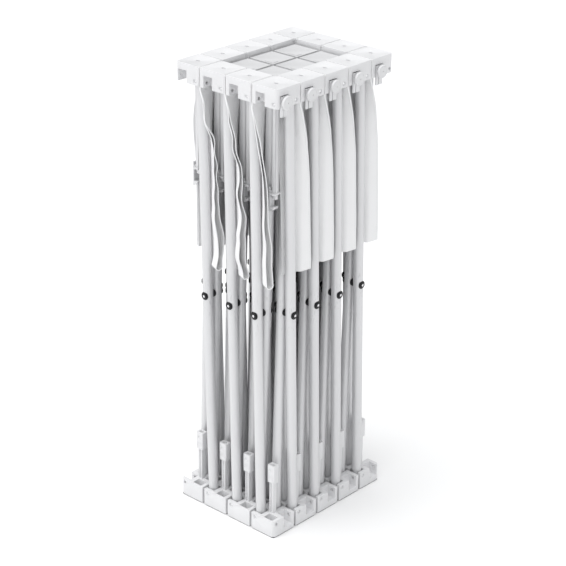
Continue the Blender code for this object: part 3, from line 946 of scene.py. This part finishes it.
def ribbonPoint(middle, outward, looks, s, depth, leg, seed):
    # s runs outwards across the tape from its middle line, leg is -1 or 1, the two sides of the loop
    turned = depth * ribbon["late"].get(seed, 1.0)
    wide = Matrix.Rotation(radians(eased(turned, looks["turns"])), 3, "Z") @ outward
    thick = up.cross(wide)
    place = s + eased(turned, looks["shifts"])
    inHub = 1 - ease((depth - 0.030) / 0.014)
    free = ease((place - 0.013) / 0.013) * ease((depth - 0.045) / 0.06)
    low = ease((depth - 0.17) / 0.17)
    # the outer part flares once it is clear of the tubes, most at the bottom
    waviness = looks["wave"] * ribbon["wavy"].get(seed, 0.7)
    wave = noise.noise(Vector((seed * 7.3, depth * 27.0, leg * 1.1)))
    sway = noise.noise(Vector((seed * 3.7, depth * 24.0, 8.5)))
    byEdge = inHub * ease((abs(place) - 0.020) / 0.004)
    spread = ribbon["pinch"] + (ribbon["hubSpread"] - ribbon["pinch"]) * byEdge
    atTop = 1 - ease(depth / 0.006)
    spread += (ribbon["topSpread"] - spread) * atTop
    spread += free * max(-0.0004, 0.0017 + looks["flare"] * low + waviness * wave * 0.8)
    fold = leg * spread + free * (waviness * sway * 1.6 - 0.0022 * low)
    return middle + wide * place + thick * fold + up * (top - depth)


def tapeColumns():
    # where the columns of faces lie, from the inner edge: close together over the beaded edges
    bead = ribbon["bead"]
    near = [0.0, bead * 0.2, bead * 0.5, bead * 0.8, bead, bead * 1.3]
    span = tapeWidth - 2 * near[-1]
    middle = [near[-1] + span * step / ribbon["across"] for step in range(1, ribbon["across"])]
    return near + middle + [tapeWidth - s for s in reversed(near)]


def makeRibbon(index, middle, outward, cloth):
    looks = ribbon["short"] if abs(outward.y) > 0.5 else ribbon["long" if outward.x > 0 else "back"]
    columnsOfTape = tapeColumns()
    steps = ribbon["down"]
    legs = []
    for leg in (-1.0, 1.0):
        lines = []
        for step in range(steps + 1):
            line = []
            for s in columnsOfTape:
                lowest = looks["drop"] - looks["rise"] * s / tapeWidth
                depth = ribbon["top"] + (lowest - ribbon["top"]) * step / steps
                line.append(ribbonPoint(middle, outward, looks, s - ribbon["inner"], depth, leg, index))
            lines.append(line)
        legs.append(lines)
    # a round bottom between the two legs
    bend = []
    for k in range(1, 8):
        angle = pi * k / 8
        line = []
        for a, b in zip(legs[0][-1], legs[1][-1]):
            centre, side = (a + b) / 2, (a - b) / 2
            line.append(centre + side * cos(angle) - up * side.length * sin(angle))
        bend.append(line)
    lines = legs[0] + bend + legs[1][::-1]
    lengths = [0.0]
    halfway = len(columnsOfTape) // 2
    for before, after in zip(lines, lines[1:]):
        lengths.append(lengths[-1] + (after[halfway] - before[halfway]).length)
    shape = bmesh.new()
    layer = shape.loops.layers.uv.new("tape")
    weights = shape.verts.layers.deform.new()
    corners = []
    for number, line in enumerate(lines):
        made = [shape.verts.new(point) for point in line]
        hem = 1.0 if number in (0, len(lines) - 1) else 0.0
        for corner, s in zip(made, columnsOfTape):
            fromEdge = min(s, tapeWidth - s) / ribbon["bead"]
            rise = max(hem, 1 - (2 * fromEdge - 1) ** 2)
            corner[weights][0] = ribbon["cloth"] + (1 - ribbon["cloth"]) * rise
        corners.append(made)
    for i in range(len(lines) - 1):
        for j in range(len(columnsOfTape) - 1):
            marks = ((j, i), (j + 1, i), (j + 1, i + 1), (j, i + 1))
            face = shape.faces.new([corners[along][across] for across, along in marks])
            for loop, (across, along) in zip(face.loops, marks):
                loop[layer].uv = (columnsOfTape[across], lengths[along])
    mesh = bpy.data.meshes.new("loop")
    shape.to_mesh(mesh)
    shape.free()
    made = newObject(f"ribbonLoop_{index}", mesh)
    made.vertex_groups.new(name="bead")
    wall = made.modifiers.new("thickness", "SOLIDIFY")
    wall.thickness = ribbon["thickness"]
    wall.vertex_group = "bead"
    wall.offset = 0.0
    applied(made)
    settle(made, cloth, replaces=["edge_ribbon"] if index == 1 else ())


tab = {"width": 0.0049, "height": 0.017, "thickness": 0.002, "inset": 0.0015, "hole": 0.0009, "lower": 0.0004}


def makeTabs(plastic):
    # a small upright tab that closes the inner end of each rim gap
    upright = Matrix.Rotation(-pi / 2, 4, "Y")
    half = tab["thickness"] / 2
    plate = extruded("tab", ovalOutline(tab["height"], tab["width"], 8), -half, half, upright)
    dot = [(tab["hole"], 0), (tab["hole"], 0.01)]
    hole = lathe("hole", dot, (-0.005, 0.0, tab["height"] / 2 - 0.0032), (1, 0, 0), 12)
    boolean(plate, [hole], "DIFFERENCE")
    rounded(plate, 0.0003, 1, 50)
    parts = []
    centre = up * (top - tab["lower"] - tab["height"] / 2)
    for middle, outward, _ in rimGaps():
        place = middle - outward * (halfHub - tab["inset"]) + centre
        facing = Matrix.Rotation(atan2(outward.y, outward.x), 4, "Z")
        parts.append(copied(plate, "tab", Matrix.Translation(place) @ facing))
    discard(plate)
    settle(joined("gapTabs", parts), plastic)


def makeRibbons(cloth):
    for index, (middle, outward, hubs) in enumerate(rimGaps(), 1):
        makeRibbon(index, middle, outward, cloth)


# ---- floor, light and camera

studio = {"azimuth": 42.3, "elevation": 23.9, "distance": 3.331, "lens": 114.0, "roll": 0.6, "aim": 0.434,
          "sky": 0.64, "softBoxes": (("topLight", (-0.08, -0.22, 0.96), 1.95, 60.0),
                                     ("frontLight", (0.62, -0.62, 0.35), 0.16, 70.0),
                                     ("leftLight", (-0.45, -0.85, 0.30), 0.34, 40.0))}


def makeStudio():
    floor = newObject("floor", bpy.data.meshes.new("floor"))
    shape = bmesh.new()
    bmesh.ops.create_grid(shape, x_segments=1, y_segments=1, size=30.0)
    shape.to_mesh(floor.data)
    shape.free()
    floor.data.materials.append(makeFloor())
    world = bpy.data.worlds.new("softStudio")
    world.use_nodes = True
    world.node_tree.nodes["Background"].inputs["Color"].default_value = (0.98, 0.99, 1.0, 1.0)
    world.node_tree.nodes["Background"].inputs["Strength"].default_value = studio["sky"]
    bpy.context.scene.world = world
    bpy.context.scene.view_settings.view_transform = "Standard"
    for name, way, power, angle in studio["softBoxes"]:
        light = bpy.data.lights.new(name, "SUN")
        light.energy = power
        light.angle = radians(angle)
        lamp = bpy.data.objects.new(name, light)
        bpy.context.scene.collection.objects.link(lamp)
        lamp.rotation_euler = (-Vector(way)).to_track_quat("-Z", "Y").to_euler()


def makeCamera():
    azimuth, elevation = radians(studio["azimuth"]), radians(studio["elevation"])
    back = Vector((sin(azimuth) * cos(elevation), -cos(azimuth) * cos(elevation), sin(elevation)))
    lens = bpy.data.cameras.new("camera")
    lens.lens = studio["lens"]
    lens.sensor_width = 36.0
    lens.clip_end = 100.0
    camera = bpy.data.objects.new("camera", lens)
    bpy.context.scene.collection.objects.link(camera)
    camera.location = gridMiddle + up * studio["aim"] + back * studio["distance"]
    facing = (-back).to_track_quat("-Z", "Y").to_matrix()
    camera.rotation_euler = (facing @ Matrix.Rotation(radians(studio["roll"]), 3, "Z")).to_euler()
    bpy.context.scene.camera = camera


makeCamera()
makeStudio()
hubPlastic = makeMouldedPlastic("mouldedHubPlastic", mouldedPlastic)
# a darker copy of the hub plastic for the sunken inner hubs: painted shade
shadedInnerPlastic = makeMouldedPlastic("mouldedInnerPlastic", mouldedPlastic, 0.83)
padPlastic = makeMouldedPlastic("mouldedFootPlastic", mouldedPlastic, 0.96)
coat = makePowderCoat(powderCoat)
black = makeBlackSteel()
bright = makeBrightSteel()
# dark rubber that also serves as the painted shadow line under the hubs
rubberAndShadow = makeRubberAndShadow()
cloth = makeTape(tapeCloth)
print("finishes made")
makeHubs(hubPlastic, shadedInnerPlastic)
makePads(rubberAndShadow)
print("hubs made")
makeTubes(coat, hubPlastic)
makeBolts(black, bright)
print("tubes and bolts made")
makeRodsAndPosts(hubPlastic, coat)
makeFeet(hubPlastic, padPlastic)
print("rods, posts and feet made")
makeRibbons(cloth)
makeTabs(hubPlastic)
print("ribbon made")
